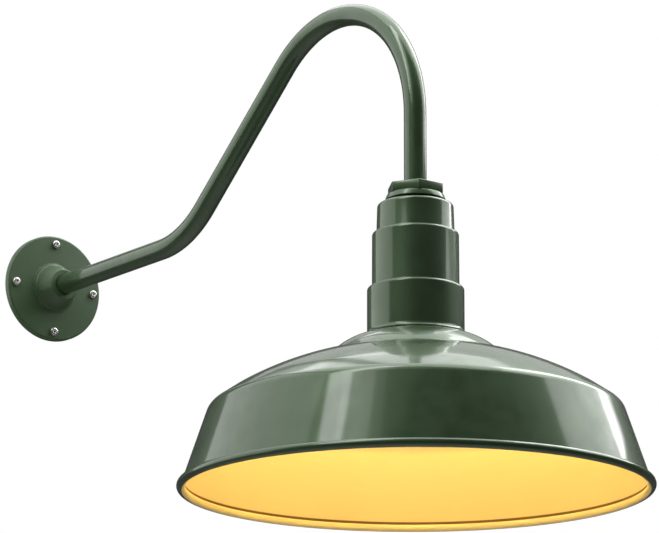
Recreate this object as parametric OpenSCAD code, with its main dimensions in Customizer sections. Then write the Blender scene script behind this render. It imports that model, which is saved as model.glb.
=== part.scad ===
// Gooseneck wall lantern: a spun steel shade on a bent tube arm that screws to a wall.
// Millimetres. The wall is the plane y = 0, with the centre of the flange at the origin.
// The lamp stands out along -Y, +Z is up, and the arm lies in the plane x = 0.

/* [Wall flange] */
// Diameter of the flange
flange_d = 121; // [110:1:146]
// Thickness of the flange at its edge
flange_t = 8; // [7:0.5:12]
// Thickness of the cast plate over the hollow back
plate_t = 3.5; // [3:0.5:5]
// Width of the rim that rests on the wall
rim_w = 5.5; // [4:0.5:8]
// Diameter of the cone where it meets the plate
cone_base_d = 53; // [46:1:64]
// Diameter of the cone at its nose
cone_nose_d = 35; // [32:1:44]
// How far the cone stands off the plate
cone_h = 22; // [18:1:30]
// Distance from the screw centres to the flange's edge
screw_inset = 9.7; // [8:0.1:12]

/* [Wall screws] */
// Thread diameter of the wall screws
wall_screw_d = 4.8; // [4:0.1:5.5]
// Diameter of their pan heads
wall_head_d = 9.6; // [8:0.1:11]
// Height of their pan heads
wall_head_h = 3.2; // [2.4:0.1:4]
// Length of a wall screw behind the flange
wall_screw_out = 8; // [5:1:40]

/* [Arm] */
// Outside diameter of the arm tube
tube_d = 22.2; // [18:0.1:27]
// Wall of the arm tube
tube_wall = 1.6; // [1.2:0.1:2.5]
// Distance from the wall to the lamp's axis
reach = 668.5; // [550:1:850]
// Straight stretch from the wall to the first bend
first_run = 226; // [120:0.5:280]
// Centreline radius of the first bend
rise_bend_r = 124.5; // [80:1:150]
// Angle at which the arm climbs
rise_angle = 39.8; // [30:0.1:55]
// Centreline radius of the top bend
top_bend_r = 133.5; // [90:1:160]
// Straight drop from the top bend to the lamp's hub
drop_run = 74; // [40:0.5:160]

/* [Hub] */
// Size of the hub's hexagon across its corners
hex_d = 58; // [52:1:66]
// Height of the hexagon
hex_h = 10; // [8:0.5:14]
// Diameter of the hub's round foot
hub_foot_d = 60; // [56:1:66]
// Height of the round foot
hub_foot_h = 5.5; // [4:0.5:9]
// Diameter of the threaded stem
stem_d = 21.3; // [18:0.1:23]
// Bore for the leads
stem_bore_d = 13; // [11:0.5:14]
// Thickness of the gasket under the hub
gasket_t = 3.3; // [2:0.1:5]
// Diameter of the gasket
gasket_d = 54; // [46:1:58]

/* [Neck] */
// Thickness of the neck's spun metal
neck_t = 1.5; // [1:0.1:2]
// Diameter of the top tier
tier1_d = 75.6; // [72:0.2:92]
// Height of the top tier
tier1_h = 29; // [20:0.5:40]
// How much wider the middle tier is than the top tier
tier2_wider = 9; // [6:0.2:14]
// Height of the middle tier
tier2_h = 54.8; // [40:0.2:70]
// How much wider the bottom tier is than the middle tier
tier3_wider = 9.8; // [6:0.2:14]
// Height of the bottom tier
tier3_h = 48.4; // [38:0.2:60]

/* [Shade] */
// Thickness of the shade's sheet steel
sheet_t = 1.2; // [0.8:0.1:1.6]
// Diameter of the shade over its rolled bead
shade_d = 457.2; // [380:0.2:550]
// Diameter of the collar dome at its base
collar_d = 170; // [150:1:200]
// Height of the collar dome
collar_h = 21; // [15:0.5:30]
// Height of the crown from its shoulder to the collar
crown_h = 51.5; // [40:0.5:70]
// Radius of the shoulder
shoulder_r = 15; // [8:1:22]
// Height of the skirt below the shoulder
skirt_h = 72.5; // [50:0.5:95]
// How far the skirt flares out over its height
skirt_flare = 24.2; // [15:0.2:35]
// Diameter of the rolled bead
bead_d = 8.6; // [7:0.1:11]

/* [Socket] */
// Diameter of the porcelain body
socket_d = 46; // [42:1:56]
// Height of the porcelain body
socket_h = 64; // [58:1:74]
// Length of the bracket's legs
bracket_leg = 77.7; // [60:0.1:95]
// Thickness of the bracket's strap
strap_t = 2; // [1.2:0.1:3]

/* [Bulb] */
// Diameter of the glass
bulb_d = 60; // [50:1:72]
// Length of the bulb from its contact to the end of the glass
bulb_len = 108; // [95:1:130]
// Outside diameter of the screw cap
cap_d = 26; // [24:0.1:26.4]

/* [Fits] */
// Radial clearance of a seated tube, stem or screw
seat_gap = 0.05; // [0.02:0.01:0.1]
// Radial clearance of a through hole
hole_gap = 0.35; // [0.2:0.05:0.6]
// Gap between the bulb and the pieces that it screws into
bulb_gap = 0.3; // [0.2:0.05:0.5]

/* [Hidden] */
$fn = 96;

green = [0.2, 0.25, 0.17];
steel = [0.72, 0.73, 0.74];
brass = [0.78, 0.62, 0.3];

// wall end; the set screw stands at set_share of the cone's height
screw_pcr = flange_d / 2 - screw_inset;
plain_shank_d = wall_screw_d - 0.4;
boss_r = 6.5;
edge_r = 2.2;
ridge_h = 0.9;
flange_set_d = 5;
hub_set_d = 4;
set_depth = 0.8;
set_share = 0.6;
set_z = flange_t + cone_h * set_share;
cone_r_there = cone_base_d / 2 + (cone_nose_d - cone_base_d) / 2 * set_share;

// places along the arm, as [distance from the wall, height]
tube_r = tube_d / 2;
rise_end = [first_run + rise_bend_r * sin(rise_angle), rise_bend_r * (1 - cos(rise_angle))];
top_start_t = reach - top_bend_r * (1 + sin(rise_angle));
climb = (top_start_t - rise_end[0]) / cos(rise_angle);
top_start = rise_end + climb * [cos(rise_angle), sin(rise_angle)];
top_centre = top_start + top_bend_r * [sin(rise_angle), -cos(rise_angle)];
tube_seat = flange_t - plate_t + 2;
hub_seat = hex_h + hub_foot_h - 2.5;

// widths of the neck's lower tiers
tier2_d = tier1_d + tier2_wider;
tier3_d = tier2_d + tier3_wider;

// heights in the lamp's own frame, whose origin is the top of the hub
hub_z = top_centre[1] - drop_run;
gasket_z = -hex_h - hub_foot_h;
neck_z = gasket_z - gasket_t;
tier2_z = neck_z - tier1_h;
tier3_z = tier2_z - tier2_h;
foot_z = tier3_z - tier3_h;
foot_flare = 1;
plate_z = neck_z - neck_t;
washer_t = 1.5;
washer_z = plate_z - strap_t;
nut_h = 6;
nut_z = washer_z - washer_t;
stem_end_z = nut_z - nut_h - 4;
socket_z = plate_z - strap_t - bracket_leg;
socket_end_z = socket_z - socket_h;
earth_z = plate_z - 40;

// radii of the neck's foot, the shade and the ring that clamps them
foot_in_r = tier3_d / 2 - 10;
clamp_pcr = (foot_in_r + tier3_d / 2 - neck_t) / 2;
clamp_t = 3;
clamp_screw_d = 3;
skirt_r = shade_d / 2 - bead_d / 2 - 0.6;
shoulder = [skirt_r - skirt_flare, foot_z - collar_h - crown_h];
skirt_foot = [skirt_r, shoulder[1] - skirt_h];
bead_centre = [shade_d / 2 - bead_d / 2, skirt_foot[1] - bead_d / 2 + 1.3];

// socket and bracket
strap_w = 30;
leg_w = 16;
leg_x = socket_d / 2 + 1;
foot_screw_x = socket_d / 2 - 6;
terminal_y = socket_d / 2 - 7;
tab_w = 6;
tab_t = 0.8;
bracket_screw_d = 4;
terminal_screw_d = 3;

// bulb: the cap's foot is level with the mouth of the socket
cap_r = cap_d / 2;
cap_h = 26;
cap_t = 0.5;
tip_z = socket_end_z + cap_h;
shell_r = cap_r + bulb_gap;
shell_t = 0.5;
shell_top_z = tip_z + 1;
// the near faces of the two strips that rise through the porcelain
shell_tab_y = shell_r + shell_t - 0.3;
contact_tab_y = 9;
chamber_z = tip_z + 8;
glass_r = bulb_d / 2;
glass_z = tip_z - bulb_len + glass_r;
glass_t = 0.8;
glass_neck_r = cap_r - 0.8;
glass_lean = 35;
stem_foot_z = tip_z - cap_h - 28;
filament_w = 24;
filament_d = 1.2;
filament_z = glass_z + 2;

// leads: three insulated wires side by side in the tube
lead_d = 2.8;
lead_circle = 1.95;

// ---- outlines -------------------------------------------------------------

// unit vector from a to b
function along(a, b) = (b - a) / norm(b - a);
// a vector's right-hand normal
function right_of(v) = [v[1], -v[0]];

// points of the arc from a to b that bulges by h to the left of its chord
function bowed(a, b, h, n) =
    let (half = norm(b - a) / 2, r = (half * half + h * h) / (2 * h),
         mid = (a + b) / 2, c = mid + right_of(along(a, b)) * (r - h),
         from = atan2(a[1] - c[1], a[0] - c[0]), sweep = -2 * asin(half / r))
    [for (i = [0:n]) c + r * [cos(from + sweep * i / n), sin(from + sweep * i / n)]];

// points of the fillet of radius r that rounds the corner b between a and c
function rounded(a, b, c, r, n = 6) =
    let (u = along(b, a), v = along(b, c), half = acos(u * v) / 2,
         m = along([0, 0], u + v), centre = b + m * r / sin(half),
         p = b + u * r / tan(half), q = b + v * r / tan(half),
         p_at = atan2(p[1] - centre[1], p[0] - centre[0]),
         q_at = atan2(q[1] - centre[1], q[0] - centre[0]),
         turn = q_at - p_at, sweep = turn > 180 ? turn - 360 : turn < -180 ? turn + 360 : turn)
    [for (i = [0:n]) centre + r * [cos(p_at + sweep * i / n), sin(p_at + sweep * i / n)]];

// the line of points moved by t to its right, with mitred corners
function beside(p, t) =
    let (last = len(p) - 1)
    [for (i = [0:last])
        let (u = along(p[max(i - 1, 0)], p[max(i, 1)]),
             v = along(p[min(i, last - 1)], p[min(i + 1, last)]),
             nu = right_of(u), nv = right_of(v))
        p[i] + (nu + nv) * t / (1 + nu * nv)];

// closed outline of a sheet of thickness t on the right of a line of points
function sheet(p, t) =
    let (q = beside(p, t)) concat(p, [for (i = [len(q) - 1:-1:0]) q[i]]);

// ---- places ---------------------------------------------------------------

// children stand in the wall's frame: their +Z points away from the wall
module from_wall() {
    rotate([90, 0, 0]) children();
}

// children stand in the lamp's frame
module at_lamp() {
    translate([0, -reach, hub_z]) children();
}

module turned(outline) {
    rotate_extrude() polygon(outline);
}

module ring(outer_r, inner_r, z_low, z_high) {
    translate([0, 0, z_low]) difference() {
        cylinder(r = outer_r, h = z_high - z_low);
        translate([0, 0, -1]) cylinder(r = inner_r, h = z_high - z_low + 2);
    }
}

// a block given by its low and high corners
module block(low, high) {
    translate(low) cube(high - low);
}

// a pan-head screw that points along -Z, with its head's underside at the origin
module pan_screw(head_d, head_h, shank_d, shank_len) {
    difference() {
        union() {
            turned(concat([[0, 0], [head_d / 2, 0]],
                rounded([head_d / 2, 0], [head_d / 2, head_h], [0, head_h], head_h * 0.7), [[0, head_h]]));
            translate([0, 0, -shank_len]) cylinder(d = shank_d, h = shank_len + 0.01);
        }
        for (a = [0, 90]) rotate(a)
            translate([-head_d * 0.29, -head_d * 0.06, head_h * 0.45]) cube([head_d * 0.58, head_d * 0.12, head_h]);
    }
}

// a headless screw that points along -Z, with its socket at the origin
module set_screw(d, len) {
    difference() {
        translate([0, 0, -len]) cylinder(d = d, h = len);
        translate([0, 0, -len * 0.4]) cylinder(d = d * 0.55, h = len, $fn = 6);
    }
}

// ---- wall end -------------------------------------------------------------

module wall_flange() {
    r = flange_d / 2;
    base = cone_base_d / 2;
    nose = cone_nose_d / 2;
    front = flange_t + cone_h;
    outline = concat(
        [[r - rim_w, 0], [r, 0]],
        rounded([r, 0], [r, flange_t], [base, flange_t], edge_r),
        [[base + 3.2, flange_t], [base + 2.4, flange_t + ridge_h], [base + 1, flange_t + ridge_h]],
        rounded([base, flange_t + ridge_h], [nose, front], [0, front], 1.6),
        [[tube_r + seat_gap, front], [tube_r + seat_gap, tube_seat], [tube_r - tube_wall, tube_seat],
         [tube_r - tube_wall, flange_t - plate_t], [r - rim_w, flange_t - plate_t]]);
    color(green) from_wall() difference() {
        union() {
            turned(outline);
            for (a = [0:90:270]) rotate(a) translate([screw_pcr, 0, 0])
                cylinder(r = boss_r, h = flange_t - plate_t + 0.5);
        }
        for (a = [0:90:270]) rotate(a) translate([screw_pcr, 0, -1])
            cylinder(d = wall_screw_d + 2 * hole_gap, h = flange_t + 2);
        translate([0, 0, set_z]) rotate([-90, 0, 0])
            cylinder(d = flange_set_d + 2 * seat_gap, h = base + 1);
    }
}

module wall_screws() {
    color(steel) from_wall() for (a = [0:90:270]) rotate(a) translate([screw_pcr, 0, 0]) {
        translate([0, 0, flange_t]) rotate(25)
            pan_screw(wall_head_d, wall_head_h, plain_shank_d, flange_t);
        translate([0, 0, -wall_screw_out]) cylinder(d = wall_screw_d, h = wall_screw_out);
    }
}

module flange_set_screw() {
    out = cone_r_there - set_depth;
    color(steel) from_wall() translate([0, out, set_z]) rotate([-90, 0, 0])
        set_screw(flange_set_d, out - tube_r - seat_gap);
}

// ---- arm and leads --------------------------------------------------------

// A route is a list of stations [centre, side], where side is a unit vector across the route in
// the plane of the arm. u and x move a station off the centreline, across it and along X.
function station(t, z, side, u = 0, x = 0) = [[x, -t - side[0] * u, z + side[1] * u], [0, -side[0], side[1]]];

// the two bends, each in n steps
function bends(u, x, n_rise, n_top) = concat(
    [for (i = [0:n_rise]) let (a = rise_angle * i / n_rise)
        station(first_run + rise_bend_r * sin(a), rise_bend_r * (1 - cos(a)), [-sin(a), cos(a)], u, x)],
    [for (i = [0:n_top]) let (a = rise_angle - (90 + rise_angle) * i / n_top)
        station(top_centre[0] - top_bend_r * sin(a), top_centre[1] + top_bend_r * cos(a),
            [-sin(a), cos(a)], u, x)]);

// the points of a ring of n sides round each station
function rings(stations, r, n) = [for (s = stations) for (k = [0:n - 1])
    s[0] + r * (cos(360 * k / n) * s[1] + sin(360 * k / n) * [1, 0, 0])];

// the two triangles of each side between the rings; the rings start at point number from
function skin(count, n, from = 0, inward = false) = [for (i = [0:count - 2]) for (k = [0:n - 1])
    let (a = from + i * n + k, b = from + i * n + (k + 1) % n)
    each inward ? [[a, b + n, a + n], [a, b, b + n]] : [[a, a + n, b + n], [a, b + n, b]]];

// the flat ring that joins the outer ring at point a to the inner ring at point b
function rim(a, b, n, turn) = [for (k = [0:n - 1]) let (m = (k + 1) % n)
    each turn ? [[a + k, a + m, b + m], [a + k, b + m, b + k]] : [[a + k, b + m, a + m], [a + k, b + k, b + m]]];

// a tube of n sides with a bore
module pipe(stations, outer_r, inner_r, n) {
    count = len(stations);
    all = count * n;
    polyhedron(concat(rings(stations, outer_r, n), rings(stations, inner_r, n)),
        concat(skin(count, n), skin(count, n, all, true), rim(0, all, n, true),
            rim(all - n, 2 * all - n, n, false)));
}

// a solid rod of n sides
module rod(stations, r, n) {
    count = len(stations);
    polyhedron(rings(stations, r, n),
        concat(skin(count, n), [[for (k = [0:n - 1]) k], [for (k = [n - 1:-1:0]) (count - 1) * n + k]]));
}

module gooseneck_arm() {
    color(green) pipe(concat([station(tube_seat, 0, [0, 1])], bends(0, 0, 7, 22),
        [station(reach, hub_z - hub_seat, [1, 0])]), tube_r, tube_r - tube_wall, 20);
}

function lead_in_arm(u, x) = concat(
    [station(1, 0, [0, 1], u, x), station(first_run / 2, 0, [0, 1], u, x)], bends(u, x, 5, 14),
    [station(reach, hub_z, [1, 0], u, x)]);

// from the hub's bore down to a terminal, in one smooth curve
function lead_tail(u, x, goal) =
    let (a = [x, -reach - u, hub_z + stem_end_z - 2], b = a - [0, 0, 28], d = goal, c = d + [0, 0, 24])
    [for (i = [0:10]) let (s = i / 10, r = 1 - s)
        [r * r * r * a + 3 * r * r * s * b + 3 * r * s * s * c + s * s * s * d, [0, -1, 0]]];

// a lead's place in the bundle of three
function lead_u(k) = lead_circle * cos(120 * k);
function lead_x(k) = lead_circle * sin(120 * k);

function lead_route(k, goal) = concat(lead_in_arm(lead_u(k), lead_x(k)),
    lead_tail(lead_u(k), lead_x(k), [0, -reach, hub_z] + goal));

module live_lead() {
    color("black") rod(lead_route(1, [-4.9, terminal_y, socket_z + 2.6]), lead_d / 2, 8);
}

module neutral_lead() {
    color("white") rod(lead_route(0, [4.9, -terminal_y, socket_z + 2.6]), lead_d / 2, 8);
}

module earth_lead() {
    color("green") rod(lead_route(2, [-leg_x + 5, 6.2, earth_z + 3]), lead_d / 2, 8);
}

module lead_bushing() {
    r = stem_bore_d / 2 - seat_gap;
    color("dimgray") at_lamp() {
        ring(stem_d / 2, 4.7, stem_end_z - 1.5, stem_end_z);
        ring(r, 4.7, stem_end_z, stem_end_z + 6);
    }
}

// ---- hub and neck ---------------------------------------------------------

module hub() {
    foot_r = hub_foot_d / 2;
    color(green) at_lamp() difference() {
        union() {
            translate([0, 0, -hex_h]) cylinder(d = hex_d, h = hex_h, $fn = 6);
            translate([0, 0, gasket_z]) cylinder(r1 = foot_r, r2 = foot_r - 2, h = hub_foot_h);
            translate([0, 0, stem_end_z]) cylinder(d = stem_d, h = gasket_z - stem_end_z + 1);
        }
        translate([0, 0, -hub_seat]) cylinder(r = tube_r + seat_gap, h = hub_seat + 1);
        translate([0, 0, stem_end_z - 1]) cylinder(d = stem_bore_d, h = -stem_end_z);
        translate([0, 0, -hex_h / 2]) rotate([90, 0, 180])
            cylinder(d = hub_set_d + 2 * seat_gap, h = hex_d);
    }
}

module hub_set_screw() {
    out = hex_d / 2 * cos(30) - set_depth;
    color(steel) at_lamp() translate([0, out, -hex_h / 2]) rotate([-90, 0, 0])
        set_screw(hub_set_d, out - tube_r - seat_gap);
}

module hub_gasket() {
    color("#222222") at_lamp() ring(gasket_d / 2, stem_d / 2 + hole_gap, neck_z, gasket_z);
}

module neck() {
    r1 = tier1_d / 2;
    r2 = tier2_d / 2;
    r3 = tier3_d / 2;
    r_foot = r3 + foot_flare;
    step = min(4, r2 - r1 - 0.3, r3 - r2 - 0.3);
    line = concat(
        [[stem_d / 2 + hole_gap, neck_z]],
        rounded([0, neck_z], [r1 - 0.6, neck_z], [r1 + 0.3, tier2_z], 3.6),
        [[r1 + 0.3, tier2_z]],
        rounded([r1, tier2_z], [r2, tier2_z], [r2 + 0.2, tier3_z], step),
        [[r2 + 0.2, tier3_z]],
        rounded([r2, tier3_z], [r3, tier3_z], [r3, foot_z], step),
        [[r3, foot_z + 4.5]],
        rounded([r3, foot_z + 4.5], [r_foot, foot_z], [0, foot_z], 0.6, 3),
        [[foot_in_r, foot_z]]);
    color(green) at_lamp() difference() {
        turned(sheet(line, neck_t));
        clamp_holes();
    }
}

module clamp_places() {
    for (a = [45:90:315]) rotate(a) translate([clamp_pcr, 0, foot_z]) children();
}

module clamp_holes() {
    clamp_places() translate([0, 0, -12]) cylinder(d = clamp_screw_d + 2 * hole_gap, h = 20);
}

module lock_washer() {
    color(steel) at_lamp() ring(16, stem_d / 2 + hole_gap, nut_z, washer_z);
}

module lock_nut() {
    color(steel) at_lamp() difference() {
        translate([0, 0, nut_z - nut_h]) cylinder(r = 17.3, h = nut_h, $fn = 6);
        translate([0, 0, nut_z - nut_h - 1]) cylinder(r = stem_d / 2 + seat_gap, h = nut_h + 2);
    }
}

// ---- socket ---------------------------------------------------------------

module socket_bracket() {
    foot_len = leg_x - 9;
    color(steel) at_lamp() difference() {
        union() {
            block([-leg_x - strap_t, -strap_w / 2, plate_z - strap_t], [leg_x + strap_t, strap_w / 2, plate_z]);
            for (side = [0, 180]) rotate(side) {
                block([leg_x, -leg_w / 2, socket_z], [leg_x + strap_t, leg_w / 2, plate_z - strap_t]);
                block([leg_x - foot_len, -leg_w / 2 + 1, socket_z], [leg_x, leg_w / 2 - 1, socket_z + strap_t]);
            }
        }
        translate([0, 0, plate_z - strap_t - 1]) cylinder(r = stem_d / 2 + hole_gap, h = strap_t + 2);
        for (side = [-1, 1]) translate([side * foot_screw_x, 0, socket_z - 1])
            cylinder(d = bracket_screw_d + 2 * hole_gap, h = strap_t + 2);
        translate([-leg_x - strap_t - 1, 0, earth_z]) rotate([0, 90, 0])
            cylinder(d = bracket_screw_d + 2 * seat_gap, h = strap_t + 2);
    }
}

module bracket_screws() {
    color(steel) at_lamp() for (side = [-1, 1]) translate([side * foot_screw_x, 0, socket_z + strap_t])
        pan_screw(7.6, 2.6, bracket_screw_d, strap_t + 10);
}

module earth_screw() {
    color("green") at_lamp() translate([-leg_x, 0, earth_z]) rotate([0, 90, 0])
        pan_screw(8, 2.6, bracket_screw_d, strap_t + 3);
}

module socket_body() {
    r = socket_d / 2;
    mouth_r = shell_r + shell_t + 1.2;
    outline = concat([[0, socket_z]],
        rounded([0, socket_z], [r, socket_z], [r, socket_end_z], 2),
        rounded([r, socket_z], [r - 2, socket_end_z], [0, socket_end_z], 2),
        rounded([r, socket_end_z], [mouth_r, socket_end_z], [mouth_r, socket_z], 1),
        [[mouth_r, socket_end_z + 4], [shell_r + shell_t + seat_gap, socket_end_z + 5],
         [shell_r + shell_t + seat_gap, shell_top_z + shell_t], [9.5, shell_top_z + shell_t],
         [9.5, chamber_z], [0, chamber_z]]);
    color("ivory") at_lamp() difference() {
        turned(outline);
        for (side = [-1, 1]) translate([side * foot_screw_x, 0, socket_z - 11])
            cylinder(d = bracket_screw_d + 2 * seat_gap, h = 12);
        for (side = [-1, 1]) translate([0, side * terminal_y, socket_z - 8])
            cylinder(d = terminal_screw_d + 2 * seat_gap, h = 9);
        tab_slot(-shell_tab_y, shell_top_z - 0.5);
        tab_slot(contact_tab_y - tab_t, chamber_z - 1);
    }
}

// a slot for a terminal strip, from the strip's own y up to the top of the porcelain
module tab_slot(y, z_low) {
    block([-tab_w / 2 - 0.2, y - 0.2, z_low], [tab_w / 2 + 0.2, y + tab_t + 0.2, socket_z + 1]);
}

module screw_shell() {
    r = shell_r;
    low = socket_end_z + 3;
    color(brass) at_lamp() {
        difference() {
            union() {
                ring(r + shell_t, r, low, shell_top_z);
                ring(r + shell_t, 7, shell_top_z, shell_top_z + shell_t);
                block([-tab_w / 2, -shell_tab_y, shell_top_z], [tab_w / 2, -shell_tab_y + tab_t, socket_z + tab_t]);
                block([-tab_w / 2, -socket_d / 2 + 2, socket_z], [tab_w / 2, -shell_tab_y + tab_t, socket_z + tab_t]);
            }
            translate([0, -terminal_y, socket_z - 1]) cylinder(d = terminal_screw_d + 2 * hole_gap, h = 4);
        }
    }
}

module centre_contact() {
    top = chamber_z;
    low = tip_z + bulb_gap;
    y = contact_tab_y;
    color(brass) at_lamp() difference() {
        union() {
            block([-tab_w / 2, y - tab_t, top - tab_t], [tab_w / 2, y, socket_z + tab_t]);
            block([-tab_w / 2, y - tab_t, socket_z], [tab_w / 2, socket_d / 2 - 2, socket_z + tab_t]);
            translate([-tab_w / 2, 0, 0]) rotate([90, 0, 90]) linear_extrude(tab_w)
                polygon(sheet(concat(
                    [[y - tab_t / 2, top]],
                    rounded([y, top], [-6, top], [-3, low], 1.2, 4),
                    rounded([-6, top], [-3, low], [4, low], 1.2, 4),
                    [[2.5, low]]), -0.5));
        }
        translate([0, terminal_y, socket_z - 1]) cylinder(d = terminal_screw_d + 2 * hole_gap, h = 4);
    }
}

module terminal_screws() {
    color(brass) at_lamp() for (side = [-1, 1]) translate([0, side * terminal_y, socket_z + tab_t])
        pan_screw(6, 2.2, terminal_screw_d, tab_t + 7);
}

// ---- shade ----------------------------------------------------------------

module shade() {
    flat = [tier3_d / 2 + 0.8, foot_z];
    crease = [collar_d / 2, foot_z - collar_h];
    from_bead = 104;
    round_bead = 320;
    r = bead_d / 2;
    crown = bowed(crease, shoulder, 6.6, 10);
    line = concat(
        [[foot_in_r, foot_z]],
        bowed(flat, crease, 3.6, 6),
        [for (i = [1:8]) crown[i]],
        rounded(crown[8], shoulder, skirt_foot, shoulder_r),
        [for (i = [0:24]) let (a = from_bead - round_bead * i / 24) bead_centre + r * [cos(a), sin(a)]]);
    color(green) at_lamp() difference() {
        turned(sheet(line, sheet_t));
        clamp_holes();
    }
}

module clamp_ring() {
    low = foot_z - sheet_t - clamp_t;
    color(steel) at_lamp() difference() {
        ring(tier3_d / 2 - 1, foot_in_r, low, low + clamp_t);
        clamp_holes();
    }
}

module clamp_screws() {
    color(steel) at_lamp() clamp_places() translate([0, 0, -sheet_t - clamp_t]) rotate([180, 0, 0])
        pan_screw(5.8, 2.2, clamp_screw_d, sheet_t + clamp_t + neck_t + 5);
}

module clamp_nuts() {
    color(steel) at_lamp() clamp_places() translate([0, 0, neck_t]) difference() {
        cylinder(r = 3.2, h = 2.6, $fn = 6);
        translate([0, 0, -1]) cylinder(d = clamp_screw_d + 2 * seat_gap, h = 5);
    }
}

// ---- bulb -----------------------------------------------------------------

module bulb_contact() {
    color(steel) at_lamp() turned([[0, tip_z - 1.2 + seat_gap], [4.5, tip_z - 1.2 + seat_gap],
        [3.4, tip_z - 0.3], [2, tip_z], [0, tip_z]]);
}

module bulb_insulator() {
    color("#1a1a1a") at_lamp() turned([[0, tip_z - 4.5], [cap_r - 4, tip_z - 4.5], [cap_r - 4, tip_z - 2.4],
        [5.5, tip_z - 1.2], [0, tip_z - 1.2]]);
}

module bulb_cap() {
    color(brass) at_lamp() turned(sheet([[cap_r - 3.6, tip_z - 2.2], [cap_r, tip_z - 5],
        [cap_r, tip_z - cap_h]], cap_t));
}

module bulb_glass() {
    corner = [glass_neck_r, glass_z + (glass_r - glass_neck_r * cos(glass_lean)) / sin(glass_lean)];
    touch = glass_r * [cos(glass_lean), sin(glass_lean)] + [0, glass_z];
    line = concat(
        [[glass_neck_r, tip_z - cap_h + 5]],
        rounded([glass_neck_r, tip_z - cap_h], corner, touch, 22, 8),
        [for (i = [0:20]) let (a = glass_lean - (90 + glass_lean) * i / 20)
            [0, glass_z] + glass_r * [cos(a), sin(a)]]);
    // the wall's inner line stops at the axis
    color([1, 0.95, 0.85, 0.5]) at_lamp()
        turned([for (p = sheet(line, glass_t)) [max(p[0], 0), p[1]]]);
}

module bulb_stem() {
    r = glass_neck_r - glass_t - 0.2;
    top = tip_z - cap_h + 4.5;
    color([0.9, 0.95, 0.95, 0.6]) at_lamp() turned([[0, top], [r, top], [r, top - 1.5], [4, top - 10],
        [3, stem_foot_z], [0, stem_foot_z]]);
}

module filament_supports() {
    wire_d = 0.8;
    foot = [1.8, stem_foot_z - 0.3];
    tip = [filament_w / 2 - 1.5, filament_z + filament_d / 2 + 0.3];
    lean = atan2(tip[0] - foot[0], foot[1] - tip[1]);
    color(steel) at_lamp() for (side = [0, 180]) rotate(side) translate([foot[0], 0, foot[1]])
        rotate([180, 0, 0]) rotate([0, lean, 0]) cylinder(d = wire_d, h = norm(tip - foot));
}

module filament() {
    color("orange") at_lamp() translate([-filament_w / 2, 0, filament_z]) rotate([0, 90, 0])
        cylinder(d = filament_d, h = filament_w);
}

wall_flange();
wall_screws();
flange_set_screw();
gooseneck_arm();
live_lead();
neutral_lead();
earth_lead();
lead_bushing();
hub();
hub_set_screw();
hub_gasket();
neck();
lock_washer();
lock_nut();
socket_bracket();
bracket_screws();
earth_screw();
socket_body();
screw_shell();
centre_contact();
terminal_screws();
shade();
clamp_ring();
clamp_screws();
clamp_nuts();
bulb_contact();
bulb_insulator();
bulb_cap();
bulb_glass();
bulb_stem();
filament_supports();
filament();
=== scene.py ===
"""The looks of a gooseneck wall lantern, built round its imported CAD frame.

Everything is in metres in the CAD frame: the wall is the plane y = 0, the lamp stands out along -Y,
+Z is up, and the arm lies in the plane x = 0.
"""
import logging
import math
from dataclasses import dataclass, field
from enum import Enum

import bmesh
import bpy
from mathutils import Matrix, Vector


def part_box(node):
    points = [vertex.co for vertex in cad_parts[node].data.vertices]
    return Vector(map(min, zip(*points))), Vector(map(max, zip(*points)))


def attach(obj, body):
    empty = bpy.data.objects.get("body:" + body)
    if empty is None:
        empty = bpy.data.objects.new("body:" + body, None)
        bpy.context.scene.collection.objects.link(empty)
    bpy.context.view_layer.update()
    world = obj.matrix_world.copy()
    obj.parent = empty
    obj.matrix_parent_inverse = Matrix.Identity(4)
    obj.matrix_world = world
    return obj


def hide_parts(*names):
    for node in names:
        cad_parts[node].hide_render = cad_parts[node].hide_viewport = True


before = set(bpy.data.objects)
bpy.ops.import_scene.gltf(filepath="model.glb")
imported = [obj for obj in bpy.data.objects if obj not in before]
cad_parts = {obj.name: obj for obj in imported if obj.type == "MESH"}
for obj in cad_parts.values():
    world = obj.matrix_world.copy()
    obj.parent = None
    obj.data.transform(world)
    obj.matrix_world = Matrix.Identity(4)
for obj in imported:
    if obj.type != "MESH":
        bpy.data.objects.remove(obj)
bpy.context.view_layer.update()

LOG = logging.getLogger("lantern")
MM = 0.001
Point = tuple[float, float]
Triple = tuple[float, float, float]
Colour = Triple


# ---- outlines: points (radius, height) of a turned piece -----------------------------------


def arc(centre: Point, radius: float, start: float, end: float, steps: int) -> list[Point]:
    """Points along an arc.

    Args:
        centre: the arc's centre.
        radius: its radius.
        start: the angle of its first point, in degrees.
        end: the angle of its last point, in degrees.
        steps: how many chords it has.

    Returns:
        steps + 1 points.
    """
    angles = [math.radians(start + (end - start) * i / steps) for i in range(steps + 1)]
    return [(centre[0] + radius * math.cos(a), centre[1] + radius * math.sin(a)) for a in angles]


def rounded(before: Point, corner: Point, after: Point, radius: float, steps: int = 8) -> list[Point]:
    """The fillet that rounds a corner.

    Args:
        before: the point before the corner.
        corner: the sharp corner.
        after: the point after the corner.
        radius: the fillet's radius.
        steps: how many chords it has.

    Returns:
        The fillet's points, from the side of before to the side of after.
    """
    b = Vector(corner)
    u, v = (Vector(before) - b).normalized(), (Vector(after) - b).normalized()
    half = u.angle(v) / 2
    centre = b + (u + v).normalized() * radius / math.sin(half)
    ends = [b + side * radius / math.tan(half) - centre for side in (u, v)]
    first, last = (math.degrees(math.atan2(e.y, e.x)) for e in ends)
    turn = (last - first + 180) % 360 - 180
    return arc((centre.x, centre.y), radius, first, first + turn, steps)


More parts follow.
